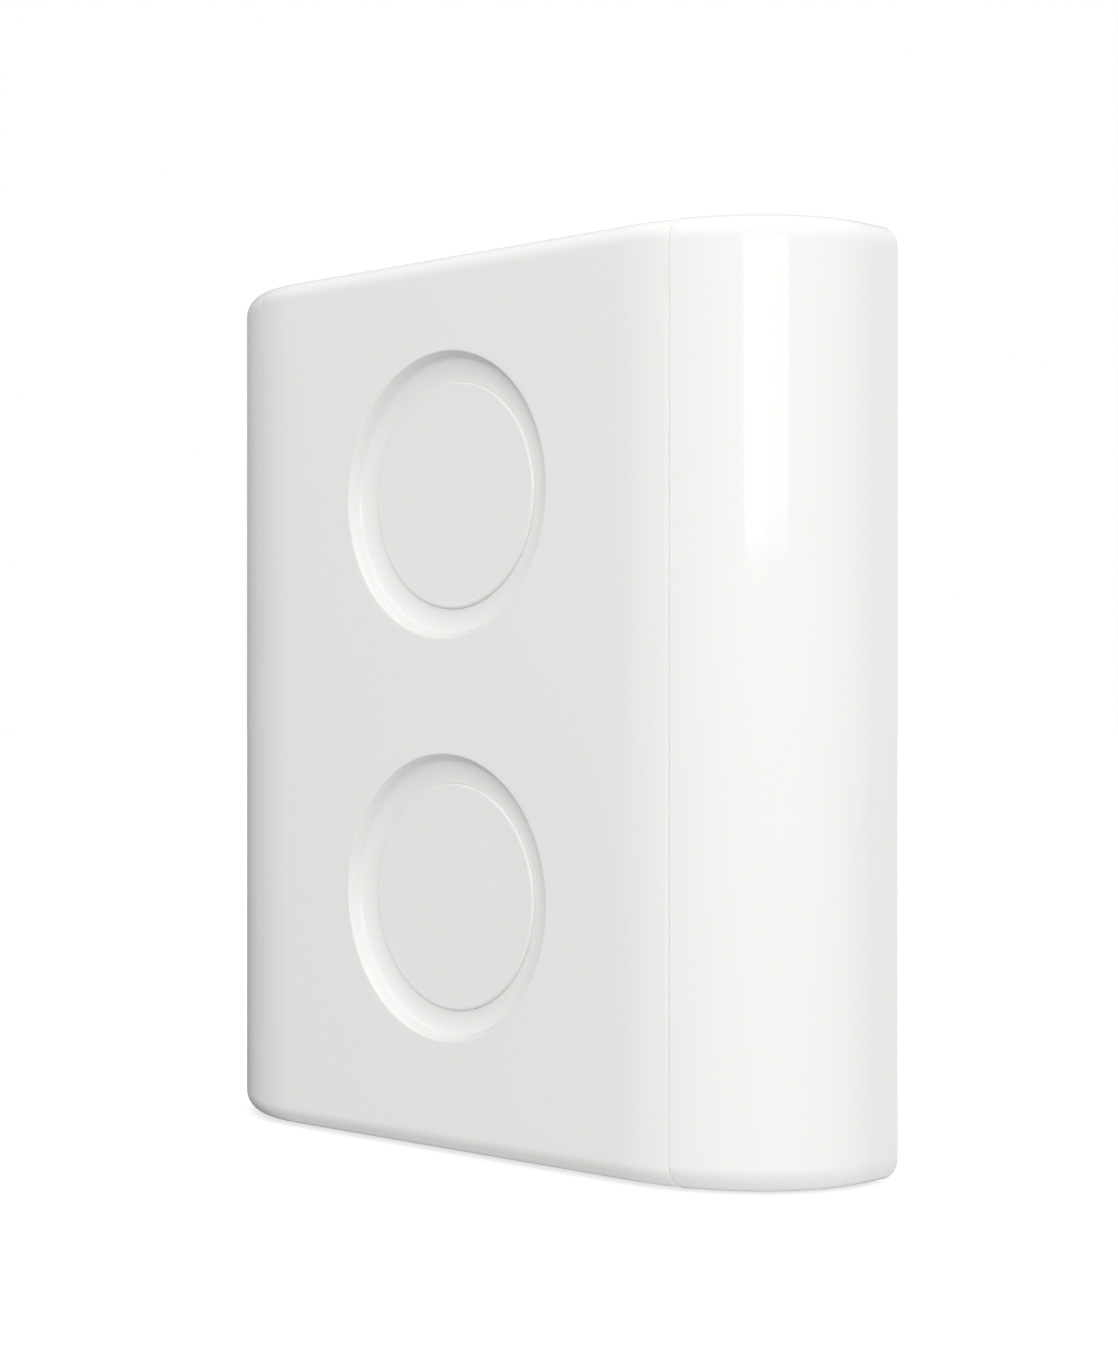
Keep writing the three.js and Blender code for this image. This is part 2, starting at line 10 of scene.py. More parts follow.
import bmesh
import bpy
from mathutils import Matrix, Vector


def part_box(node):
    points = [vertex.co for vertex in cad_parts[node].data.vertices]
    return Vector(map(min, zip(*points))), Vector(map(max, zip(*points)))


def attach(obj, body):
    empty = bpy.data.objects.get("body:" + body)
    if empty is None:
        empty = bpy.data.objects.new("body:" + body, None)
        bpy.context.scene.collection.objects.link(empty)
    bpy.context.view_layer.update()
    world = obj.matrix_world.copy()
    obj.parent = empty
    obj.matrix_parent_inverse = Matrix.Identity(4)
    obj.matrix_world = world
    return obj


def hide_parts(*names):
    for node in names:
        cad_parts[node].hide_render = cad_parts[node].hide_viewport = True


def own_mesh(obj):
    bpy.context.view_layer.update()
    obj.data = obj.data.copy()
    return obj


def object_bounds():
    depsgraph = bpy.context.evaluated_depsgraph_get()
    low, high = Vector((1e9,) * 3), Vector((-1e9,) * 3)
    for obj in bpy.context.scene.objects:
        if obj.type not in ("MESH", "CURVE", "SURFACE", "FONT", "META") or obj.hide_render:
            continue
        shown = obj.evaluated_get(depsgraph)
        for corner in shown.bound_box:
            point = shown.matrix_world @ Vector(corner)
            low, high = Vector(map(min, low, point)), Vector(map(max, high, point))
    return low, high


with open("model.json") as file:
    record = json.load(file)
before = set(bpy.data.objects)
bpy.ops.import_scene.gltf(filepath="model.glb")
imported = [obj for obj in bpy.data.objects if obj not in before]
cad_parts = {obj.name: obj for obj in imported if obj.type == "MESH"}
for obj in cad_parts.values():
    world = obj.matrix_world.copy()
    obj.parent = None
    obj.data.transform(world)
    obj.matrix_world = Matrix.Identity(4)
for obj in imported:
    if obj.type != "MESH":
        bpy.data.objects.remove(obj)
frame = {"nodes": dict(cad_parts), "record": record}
cad_low, cad_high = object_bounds()

MM = 0.001

# ---- sizes that follow the frame ----
housing_low, housing_high = (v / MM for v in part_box("rear_housing"))
cover_low, cover_high = (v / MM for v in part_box("front_cover"))
HALF_WIDTH = housing_high.x
HALF_HEIGHT = housing_high.z
FRONT = min(housing_low.y, cover_low.y)
BACK = housing_high.y
COVER_HALF_HEIGHT = cover_high.z
PAD_HEIGHTS = {
    place: (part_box(f"{place}_button_cap")[0].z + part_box(f"{place}_button_cap")[1].z) / 2 / MM
    for place in ("upper", "lower")
}

# ---- shape of the shells ----
CORNER_X = 18.0
CORNER_Y = 15.5
CHEEK_EDGE = 2.3
COVER_EDGE = 1.95
COVER_SIDE = 29.73
CHEEK_SIDE = 29.77
SEAM_ROUND = 0.05
BACK_ROUND = 0.08
RIM_ROUND = 0.1
SKIN = 2.0
COVER_INNER = FRONT + 2.2
BOX_EDGE = 0.3
LIP_FRONT = -16.2
LIP_BACK = -14.8
LIP_OPENING = 26.5
TRAY_OUT = 42.7
TRAY_IN = 41.0
REAR_WALL_FRONT = -4.7
REAR_WALL_BACK = -2.5

DISH_RADIUS = 14.4
DISH_PATCH = 17.0
WALL_FOOT_RADIUS = 13.88
WALL_FOOT_DEPTH = 1.28
GROOVE_DEPTH = 1.62
BOSS_RADIUS = 16.2
BOSS_BACK = -15.7
HOLE_RADIUS = 11.45
HOLE_EDGE = 0.01

# The groove is an arc that ends a narrow land away from the hole. The foot of the wall is rounded
# off between a point that far up the wall and the point at this share of the arc.
GROOVE_LAND = 0.05
FOOT_REACH = 0.3
GROOVE_SHARE = 0.86

CAP_RADIUS = 11.44
CAP_FACE = FRONT + 1.3
CAP_EDGE = 0.3
CAP_FLANGE = 12.7
CAP_FLANGE_FRONT = -15.4
CAP_FLANGE_BACK = -14.7
CAP_HUB = 2.2
CAP_HUB_BACK = -14.0

# ---- the silicone cup behind a cap ----
CUP_HUB = 2.6
CUP_HUB_FRONT = -13.7
CUP_SEAT = -13.6
CUP_REAR = -13.1
CUP_FLOOR = -12.5
CUP_FOLD = (7.0, 7.6, 9.4, 10.0)
CUP_FOLD_FRONT = -13.4
CUP_FOLD_REAR = -13.0
CUP_WALL = 13.4
CUP_OUT = 15.9
CUP_RIM = -15.5

# ---- bosses of the cover ----
CASE_BOSS_RADIUS = 3.0
CASE_BOSS_BACK = -5.0
CARRIER_BOSS_RADIUS = 2.2
CARRIER_BOSS_BACK = -13.1
PILOT_RADIUS = 1.5
CASE_BOSS_SPOTS = [(x, z) for x in (-23.0, 23.0) for z in (-36.5, 36.5)]
CARRIER_BOSS_SPOTS = [(x, z) for x in (-17.0, 17.0) for z in (-33.8, 35.2)]

# ---- back of the case, its door and the wall plate ----
BATTERY_Z = (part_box("battery_door")[0].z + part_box("battery_door")[1].z) / 2 / MM
DOOR_HOLE = 13.3
REBATE_RADIUS = 14.9
REBATE_FLOOR = -3.9
COLLAR_RADIUS = 17.5
SCREW_POCKET = 2.7
SCREW_SEAT = -3.6
DOOR_FLANGE = 14.6
DOOR_EDGE = 0.3
DOOR_GROOVE = ((8.7, 0.0), (8.85, 0.15), (9.15, 0.15), (9.3, 0.0))
DOOR_MARK_FOOT = 10.4
DOOR_MARK_TIP = 12.0
DOOR_NOTCH = 0.75
DOOR_NOTCH_RING = 15.05
COIN_HALF_LENGTH = 7.0
COIN_HALF_WIDTH = 1.0
DOOR_SKIRT = 12.9
DOOR_SKIRT_IN = 12.0
DOOR_SEAT = -3.3
LUG_FRONT = -6.5
LUG_BACK = -5.5
LUG_ANGLES = (90, 210, 330)
LUG_ARC = 24
DOOR_TURN = 60
HOOK_SPOTS = [(x, z) for x in (-26.0, 26.0) for z in (-22.0, 22.0)]
HOOK_HALF_WIDTH = 3.0
HOOK_HALF_STEM = 1.0
HOOK_REACH = 3.2
HOOK_FRONT = -6.1
HOOK_BACK = -5.0
HOOK_LEAD = 0.35
PLATE_FRONT = -2.0
PLATE_WINDOW = 15.0
PLATE_SLOTS = ((30.0, 0.0, 2.0, 0.0), (-30.0, 0.0, 2.0, 0.0), (0.0, 30.0, 0.0, 2.0))
SHANK_RADIUS = 2.2
HEAD_RADIUS = 4.2
HEAD_DEPTH = 0.9
ARROW_TIP = 37.0
ARROW_HALF_WIDTH = 3.0
TAPE_SPOTS = [(x, z) for x in (-25.0, 25.0) for z in (-31.5, 32.5)]
TAPE_HALF_X = 8.0
TAPE_HALF_Z = 4.5
TAPE_DEPTH = 1.0

# ---- depths that lie clear of the back, for the ends of cutters ----
PAST_WALL = 1.0
PAST_BACK = 2.0
PAST_REAR_WALL = -7.0

PATCH_STEPS = 48
FILLET_STEPS = 10
FLANGE_STEPS = 6
ROUND_GIVE = 0.001

# ---- light: the two glows of the world, the softbox and the fill ----
WORLD_LIGHT = 1.22
BOUNCE_LIGHT = 1.35
KEY_POWER = 0.7
FILL_POWER = 1.95
FILL_AZIMUTH = 37.0
FILL_SIZE = 0.4
KEY_AZIMUTH = 51.0
KEY_ELEVATION = 12.5
KEY_DISTANCE = 0.75
KEY_WIDTH = 0.374
KEY_HEIGHT = 0.21
KEY_FADE = ((0.4, 1.0), (0.48, 0.62), (0.85, 0.5))
KEY_ENDS = ((0.0, 1.0), (1.0, 0.55))

# ---- camera, in metres and radians ----
CAMERA_PLACE = (0.19258, -0.19898, -0.00018)
CAMERA_TURN = 0.7762
CAMERA_LENS = 69.007
CAMERA_SHIFT = 0.01485


# ---- outline of the case seen from above ----
def outline_point(angle, inset):
    """A point on the right upright corner; angle runs from 0 at the front to a quarter turn."""
    normal_x = math.sin(angle) / CORNER_X
    normal_y = math.cos(angle) / CORNER_Y
    length = math.hypot(normal_x, normal_y)
    x = HALF_WIDTH - CORNER_X + CORNER_X * math.sin(angle) - inset * normal_x / length
    y = FRONT + CORNER_Y - CORNER_Y * math.cos(angle) + inset * normal_y / length
    return x, y


def corner_angle(x, inset):
    """The corner angle at which the inset outline is x from the middle."""
    low, high = 0.0, math.pi / 2
    for _ in range(40):
        middle = (low + high) / 2
        if outline_point(middle, inset)[0] < x:
            low = middle
        else:
            high = middle
    return (low + high) / 2


def corner_angle_at(depth, inset):
    """The corner angle at which the inset outline is that deep, or its end if it never is."""
    low, high = 0.0, math.pi / 2
    for _ in range(40):
        middle = (low + high) / 2
        if outline_point(middle, inset)[1] < depth:
            low = middle
        else:
            high = middle
    return (low + high) / 2


def outline_depth(x, inset):
    """How deep the inset outline lies at x."""
    if abs(x) <= HALF_WIDTH - CORNER_X:
        return FRONT + inset
    return outline_point(corner_angle(abs(x), inset), inset)[1]


def spread(start, end, steps):
    """Evenly spaced values from start to end, both included."""
    return [start + (end - start) * i / steps for i in range(steps + 1)]


def quarter(steps):
    """Angles from zero to a quarter turn."""
    return spread(0.0, math.pi / 2, steps)


# ---- closed meshes ----
class Solid:
    """Points in millimetres and faces between them; points that coincide are shared."""

    def __init__(self):
        self.points = []
        self.faces = []
        self.numbers = {}

    def number(self, point):
        """The point's place in the list; it is added when it is new."""
        key = tuple(round(c, 4) + 0.0 for c in point)
        if key not in self.numbers:
            self.numbers[key] = len(self.points)
            self.points.append(key)
        return self.numbers[key]

    def face(self, points):
        """Adds one face, unless its points fall together into a line or a spot."""
        corners = []
        for point in points:
            number = self.number(point)
            if number not in corners:
                corners.append(number)
        if len(corners) > 2:
            self.faces.append(corners)

    def loft(self, lines, closed=False, skip=None):
        """Quads between each line of points and the next."""
        for i in range(len(lines) - 1):
            count = len(lines[i])
            for j in range(count if closed else count - 1):
                if skip and skip(i, j):
                    continue
                k = (j + 1) % count
                self.face([lines[i][j], lines[i][k], lines[i + 1][k], lines[i + 1][j]])

    def mesh(self, name):
        """A mesh in metres with outward faces; a gap left open is closed by one face."""
        data = bpy.data.meshes.new(name)
        data.from_pydata([[c * MM for c in p] for p in self.points], [], self.faces)
        work = bmesh.new()
        work.from_mesh(data)
        open_edges = [e for e in work.edges if e.is_boundary]
        if open_edges:
            bmesh.ops.holes_fill(work, edges=open_edges, sides=0)
        bmesh.ops.recalc_face_normals(work, faces=work.faces)
        work.to_mesh(data)
        work.free()
        return data


def band_section(x, inset, half_height, edge, heights):
    """One slice of a shell at x: back along the bottom, up the front and back along the top."""
    edge -= inset
    half_height -= inset
    line = []
    fold = outline_depth(x, inset + edge)
    for y in spread(BACK, fold, FLANGE_STEPS)[:-1]:
        line.append((x, y, -half_height))
    turns = quarter(FILLET_STEPS)
    for turn in reversed(turns):
        y = outline_depth(x, inset + edge * (1 - math.cos(turn)))
        line.append((x, y, -(half_height - edge + edge * math.sin(turn))))
    for z in heights[1:-1]:
        line.append((x, outline_depth(x, inset), z))
    for turn in turns:
        y = outline_depth(x, inset + edge * (1 - math.cos(turn)))
        line.append((x, y, half_height - edge + edge * math.sin(turn)))
    for y in spread(fold, BACK, FLANGE_STEPS)[1:]:
        line.append((x, y, half_height))
    return line


def box_section(x, front, half_height, heights):
    """A slice with as many points as band_section, round a plain box."""
    fold = front + BOX_EDGE
    limit = half_height - BOX_EDGE
    line = [(x, y, -half_height) for y in spread(BACK, fold, FLANGE_STEPS)[:-1]]
    turns = quarter(FILLET_STEPS)
    corner = []
    for turn in turns:
        z = half_height - BOX_EDGE * (1 - math.sin(turn))
        corner.append((front + BOX_EDGE * (1 - math.cos(turn)), z))
    line += [(x, y, -z) for y, z in reversed(corner)]
    line += [(x, front, max(-limit, min(limit, z))) for z in heights[1:-1]]
    line += [(x, y, z) for y, z in corner]
    line += [(x, y, half_height) for y in spread(fold, BACK, FLANGE_STEPS)[1:]]
    return line


# ---- cover: the middle band with its two dishes ----
def cover_heights():
    """Heights of the grid's rows, closer together where a dish is."""
    limit = COVER_HALF_HEIGHT - COVER_EDGE
    marks = [-limit]
    for pad in (PAD_HEIGHTS["lower"], PAD_HEIGHTS["upper"]):
        marks += [pad - DISH_PATCH, pad + DISH_PATCH]
    marks.append(limit)
    counts = [4, PATCH_STEPS, 4, PATCH_STEPS, 4]
    heights = []
    for start, end, count in zip(marks, marks[1:], counts):
        heights += spread(start, end, count)[:-1]
    return heights + [limit]


def cover_columns():
    """Pairs of x and inset from the middle line outwards to the seam."""
    flat = HALF_WIDTH - CORNER_X
    columns = [(x, 0.0) for x in spread(0.0, DISH_PATCH, PATCH_STEPS // 2)]
    columns += [(x, 0.0) for x in spread(DISH_PATCH, flat, 4)[1:]]
    last = corner_angle(COVER_SIDE - SEAM_ROUND, 0.0)
    columns += [(outline_point(a, 0.0)[0], 0.0) for a in spread(0.0, last, 10)[1:]]
    for turn in quarter(3)[1:]:
        x = COVER_SIDE - SEAM_ROUND * (1 - math.sin(turn))
        columns.append((x, SEAM_ROUND * (1 - math.cos(turn))))
    mirrored = [(-x, inset) for x, inset in reversed(columns[1:])]
    return mirrored + columns


def dish_profile():
    """Radius and depth from the front over the rim, down the wall and along the groove to the hole."""
    slope = math.atan2(WALL_FOOT_DEPTH, DISH_RADIUS - WALL_FOOT_RADIUS)
    profile = []
    tangent = RIM_ROUND * math.tan(slope / 2)
    for turn in spread(0.0, slope, 4):
        r = DISH_RADIUS + tangent - RIM_ROUND * math.sin(turn)
        profile.append((r, FRONT + RIM_ROUND * (1 - math.cos(turn))))
    run = WALL_FOOT_RADIUS - HOLE_RADIUS - GROOVE_LAND
    drop = GROOVE_DEPTH - WALL_FOOT_DEPTH
    sweep = 2 * math.atan(drop / run)
    radius = run / math.sin(sweep)
    first = sweep * GROOVE_SHARE

    def groove_point(turn):
        r = HOLE_RADIUS + GROOVE_LAND + radius * math.sin(turn)
        return r, GROOVE_DEPTH - radius * (1 - math.cos(turn))

    entry_depth = WALL_FOOT_DEPTH - FOOT_REACH * math.sin(slope)
    entry = (WALL_FOOT_RADIUS + FOOT_REACH * math.cos(slope), entry_depth)
    leave = groove_point(first)
    for share in spread(0.0, 1.0, 8):
        near = (1 - share) ** 2
        middle = 2 * share * (1 - share)
        far = share ** 2
        r = near * entry[0] + middle * WALL_FOOT_RADIUS + far * leave[0]
        profile.append((r, FRONT + near * entry[1] + middle * WALL_FOOT_DEPTH + far * leave[1]))
    for turn in spread(first, 0.0, 14)[1:]:
        r, depth = groove_point(turn)
        profile.append((r, FRONT + depth))
    for turn in quarter(3):
        r = HOLE_RADIUS + HOLE_EDGE * (1 - math.sin(turn))
        profile.append((r, FRONT + GROOVE_DEPTH + HOLE_EDGE * (1 - math.cos(turn))))
    profile.append((HOLE_RADIUS, BOSS_BACK))
    return profile


def square_ring(height, depth):
    """Points round the square patch of a dish, in step with the grid beside it."""
    steps = spread(-DISH_PATCH, DISH_PATCH, PATCH_STEPS)
    ring = [(x, depth, height - DISH_PATCH) for x in steps[:-1]]
    ring += [(DISH_PATCH, depth, height + z) for z in steps[:-1]]
    ring += [(-x, depth, height + DISH_PATCH) for x in steps[:-1]]
    ring += [(-DISH_PATCH, depth, height - z) for z in steps[:-1]]
    return ring


def circle_ring(height, radius, depth):
    """A circle whose points stand in line with those of square_ring."""
    ring = []
    count = 4 * PATCH_STEPS
    for i in range(count):
        turn = -3 * math.pi / 4 + 2 * math.pi * i / count
        ring.append((radius * math.cos(turn), depth, height + radius * math.sin(turn)))
    return ring


def blended_ring(square, circle, share):
    """A ring part of the way from the square to the circle."""
    return [tuple(a + (b - a) * share for a, b in zip(p, q)) for p, q in zip(square, circle)]


def cover_solid():
    """The cover as an outer and an inner skin, with the dishes set into square patches of both."""
    solid = Solid()
    heights = cover_heights()
    columns = cover_columns()
    outer = [band_section(x, i, COVER_HALF_HEIGHT, COVER_EDGE, heights) for x, i in columns]
    inner = [box_section(x, COVER_INNER, COVER_HALF_HEIGHT - SKIN, heights) for x, _ in columns]
    lead = FLANGE_STEPS + FILLET_STEPS

    def in_patch(i, j):
        x = (columns[i][0] + columns[i + 1][0]) / 2
        row = j - lead
        if abs(x) > DISH_PATCH or row < 0 or row >= len(heights) - 1:
            return False
        z = (heights[row] + heights[row + 1]) / 2
        return any(abs(z - pad) < DISH_PATCH for pad in PAD_HEIGHTS.values())

    solid.loft(outer, skip=in_patch)
    solid.loft(inner, skip=in_patch)
    solid.loft([outer[0], inner[0]])
    solid.loft([outer[-1], inner[-1]])
    solid.loft([[line[0] for line in outer], [line[0] for line in inner]])
    solid.loft([[line[-1] for line in outer], [line[-1] for line in inner]])
    profile = dish_profile()
    for height in PAD_HEIGHTS.values():
        square = square_ring(height, FRONT)
        rim = circle_ring(height, profile[0][0], FRONT)
        rings = [square] + [blended_ring(square, rim, s) for s in (0.4, 0.75, 0.92)]
        rings += [circle_ring(height, r, y) for r, y in profile]
        rings.append(circle_ring(height, BOSS_RADIUS, BOSS_BACK))
        rings.append(circle_ring(height, BOSS_RADIUS, COVER_INNER))
        rings.append(square_ring(height, COVER_INNER))
        solid.loft(rings, closed=True)
    return solid


# ---- housing: the two cheeks, the tray under the cover and the back wall ----
def cheek_heights():
    """Heights of the rows of points on a cheek, between its two fillets."""
    limit = HALF_HEIGHT - CHEEK_EDGE
    return spread(-limit, limit, 24)


def cheek_grid(side):
    """Lines of points from the seam round the corner and back along the side."""
    heights = cheek_heights()
    fillet = []
    for turn in quarter(FILLET_STEPS):
        z = HALF_HEIGHT - CHEEK_EDGE * (1 - math.sin(turn))
        fillet.append((CHEEK_EDGE * (1 - math.cos(turn)), z))
    rows = [(inset, -z) for inset, z in reversed(fillet)]
    rows += [(0.0, z) for z in heights[1:-1]]
    rows += fillet
    lines = []
    corner_steps = 28
    for i in range(corner_steps + 1):
        line = []
        for inset, z in rows:
            first = corner_angle(CHEEK_SIDE + SEAM_ROUND, inset)
            x, y = outline_point(first + (math.pi / 2 - first) * i / corner_steps, inset)
            line.append((side * x, y, z))
        lines.append(line)
    for y in spread(FRONT + CORNER_Y, BACK - BACK_ROUND, 3)[1:]:
        lines.append([(side * (HALF_WIDTH - inset), y, z) for inset, z in rows])
    for turn in quarter(3)[1:]:
        give = BACK_ROUND * (1 - math.cos(turn))
        y = BACK - BACK_ROUND * (1 - math.cos(math.pi / 2 - turn))
        line = []
        for inset, z in rows:
            lean = inset / CHEEK_EDGE
            line.append((side * (HALF_WIDTH - inset - give * (1 - lean)), y, z))
        lines.append(line)
    return lines


def housing_solid():
    """The cheeks, joined across the middle by a full block that the cutters hollow out."""
    solid = Solid()
    heights = cheek_heights()
    seam_columns = []
    for turn in quarter(3):
        x = CHEEK_SIDE + SEAM_ROUND * (1 - math.sin(turn))
        seam_columns.append((x, SEAM_ROUND * (1 - math.cos(turn))))
    left = [band_section(-x, i, HALF_HEIGHT, CHEEK_EDGE, heights) for x, i in seam_columns]
    middle = [box_section(x, LIP_FRONT, TRAY_OUT, heights) for x in (-CHEEK_SIDE, CHEEK_SIDE)]
    right = [band_section(x, i, HALF_HEIGHT, CHEEK_EDGE, heights) for x, i in reversed(seam_columns)]
    sections = left + middle + right
    solid.loft(sections)
    for side, seam in ((-1, sections[0]), (1, sections[-1])):
        grid = cheek_grid(side)
        solid.loft(grid)
        for end in (0, -1):
            edge = [line[end] for line in grid]
            flange = seam[:FLANGE_STEPS] if end == 0 else seam[-FLANGE_STEPS:][::-1]
            solid.face(edge + flange)
    return solid


def prism_xy(points, z0, z1):
    """A closed prism over an outline in X and Y."""
    solid = Solid()
    low = [(x, y, z0) for x, y in points]
    high = [(x, y, z1) for x, y in points]
    solid.loft([low, high], closed=True)
    solid.face(low)
    solid.face(high)
    return solid


def prism_xz(points, y0, y1):
    """A closed prism over an outline in X and Z."""
    solid = Solid()
    front = [(x, y0, z) for x, z in points]
    back = [(x, y1, z) for x, z in points]
    solid.loft([front, back], closed=True)
    solid.face(front)
    solid.face(back)
    return solid


def rectangle(x0, x1, z0, z1, radius=0.0, steps=8):
    """An outline in X and Z with rounded corners."""
    if radius <= 0:
        return [(x0, z0), (x1, z0), (x1, z1), (x0, z1)]
    points = []
    corners = ((x1, z0, -90), (x1, z1, 0), (x0, z1, 90), (x0, z0, 180))
    for x, z, start in corners:
        centre_x = x - radius if x == x1 else x + radius
        centre_z = z - radius if z == z1 else z + radius
        for angle in spread(start, start + 90, steps):
            turn = math.radians(angle)
            points.append((centre_x + radius * math.cos(turn), centre_z + radius * math.sin(turn)))
    return points


def turned_solid(x, z, profile, steps=192):
    """A closed piece turned about an axis along Y; the profile starts and ends on the axis."""
    solid = Solid()
    turns = [2 * math.pi * i / steps for i in range(steps)]
    lines = [[(x + r * math.cos(t), y, z + r * math.sin(t)) for t in turns] for r, y in profile[1:-1]]
    solid.loft(lines, closed=True)
    solid.face(lines[0])
    solid.face(lines[-1])
    return solid


def rod(x, z, radius, y0, y1, steps=64):
    """A plain cylinder along Y."""
    return turned_solid(x, z, [(0.0, y0), (radius, y0), (radius, y1), (0.0, y1)], steps)


def chamfered_rod(x, z, radius, y0, mouth, chamfer, steps=96):
    """A hole's cutter that widens by the chamfer where it meets the surface at mouth."""
    wide = radius + chamfer
    clear = 3.0
    profile = [(0.0, y0), (radius, y0), (radius, mouth - chamfer)]
    profile += [(wide, mouth), (wide, clear), (0.0, clear)]
    return turned_solid(x, z, profile, steps)


def slot_prism(x, z, slide_x, slide_z, radius, y0, y1):
    """A slot with round ends, as a cutter."""
    reach_x = slide_x + radius
    reach_z = slide_z + radius
    outline = rectangle(x - reach_x, x + reach_x, z - reach_z, z + reach_z, radius - ROUND_GIVE, 14)
    return prism_xz(outline, y0, y1)


def block(x0, x1, y0, y1, z0, z1):
    """A plain box."""
    return prism_xz(rectangle(x0, x1, z0, z1), y0, y1)


def ring_sector(inner, outer, angle, arc, y0, y1, steps=12):
    """A wedge of a ring about the battery's axis, centred on the angle."""
    turns = [math.radians(a) for a in spread(angle - arc / 2, angle + arc / 2, steps)]
    points = [(outer * math.cos(t), BATTERY_Z + outer * math.sin(t)) for t in turns]
    points += [(inner * math.cos(t), BATTERY_Z + inner * math.sin(t)) for t in reversed(turns)]
    return prism_xz(points, y0, y1)


def loose_object(name, solid):
    """An object of the scene made from the solid."""
    made = bpy.data.objects.new(name, solid.mesh(name))
    bpy.context.scene.collection.objects.link(made)
    return made


def shape(target, solids, operation="DIFFERENCE"):
    """Cuts each solid from the target, or adds it, one after the other."""
    tools = []
    for solid in solids:
        tool = loose_object("tool", solid)
        tools.append(tool)
        step = target.modifiers.new("shape", "BOOLEAN")
        step.operation = operation
        step.solver = "EXACT"
        step.object = tool
    bpy.context.view_layer.update()
    graph = bpy.context.evaluated_depsgraph_get()
    result = bpy.data.meshes.new_from_object(target.evaluated_get(graph), depsgraph=graph)
    target.modifiers.clear()
    old = target.data
    target.data = result
    bpy.data.meshes.remove(old)
    for tool in tools:
        spent = tool.data
        bpy.data.objects.remove(tool)
        bpy.data.meshes.remove(spent)


def smooth(piece, angle=28.0, bevel=0.0):
    """Smooth shading that keeps edges sharper than the angle crisp and flat faces flat."""
    piece.data.shade_smooth()
    piece.data.set_sharp_from_angle(angle=math.radians(angle))
    if bevel:
        edge = piece.modifiers.new("edge", "BEVEL")
        edge.width = bevel * MM
        edge.segments = 2
        edge.limit_method = "ANGLE"
        edge.angle_limit = math.radians(35)
        edge.harden_normals = True
    weighted = piece.modifiers.new("normals", "WEIGHTED_NORMAL")
    weighted.keep_sharp = True
    weighted.weight = 100


def place(piece, body, slot, material, replaced=()):
    """Gives a piece its material and body, and hides the frame's nodes that it stands for; the slot is
    not used.
    """
    piece.data.materials.clear()
    piece.data.materials.append(material)
    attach(piece, body)
    if replaced:
        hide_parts(*replaced)
    return piece


# ---- materials ----
def shader(name, roughness, metallic=0.0):
    """A new material, with its nodes, its links and its principled shader."""
    material = bpy.data.materials.new(name)
    material.use_nodes = True
    nodes = material.node_tree.nodes
    principled = nodes["Principled BSDF"]
    principled.inputs["Roughness"].default_value = roughness
    principled.inputs["Metallic"].default_value = metallic
    return material, nodes, material.node_tree.links, principled


def moulded(name, dark, light, roughness, spread_of_gloss, grain, bump, scale):
    """Moulded plastic: faint cloudy tint, fine grain in gloss and height."""
    material, nodes, links, principled = shader(name, roughness)
    place_in = nodes.new("ShaderNodeTexCoord")
    cloud = nodes.new("ShaderNodeTexNoise")
    cloud.inputs["Scale"].default_value = scale
    cloud.inputs["Detail"].default_value = 3.0
    links.new(place_in.outputs["Object"], cloud.inputs["Vector"])
    tint = nodes.new("ShaderNodeValToRGB")
    tint.color_ramp.elements[0].color = (*dark, 1)
    tint.color_ramp.elements[1].color = (*light, 1)
    tint.color_ramp.elements[0].position = 0.3
    tint.color_ramp.elements[1].position = 0.7
    links.new(cloud.outputs["Fac"], tint.inputs["Fac"])
    links.new(tint.outputs["Color"], principled.inputs["Base Color"])
    fine = nodes.new("ShaderNodeTexNoise")
    fine.inputs["Scale"].default_value = grain
    fine.inputs["Detail"].default_value = 2.0
    links.new(place_in.outputs["Object"], fine.inputs["Vector"])
    gloss = nodes.new("ShaderNodeMapRange")
    gloss.inputs["To Min"].default_value = roughness - spread_of_gloss
    gloss.inputs["To Max"].default_value = roughness + spread_of_gloss
    links.new(fine.outputs["Fac"], gloss.inputs["Value"])
    links.new(gloss.outputs["Result"], principled.inputs["Roughness"])
    if bump:
        relief = nodes.new("ShaderNodeBump")
        relief.inputs["Strength"].default_value = 1.0
        relief.inputs["Distance"].default_value = bump * MM
        links.new(fine.outputs["Fac"], relief.inputs["Height"])
        links.new(relief.outputs["Normal"], principled.inputs["Normal"])
    return material


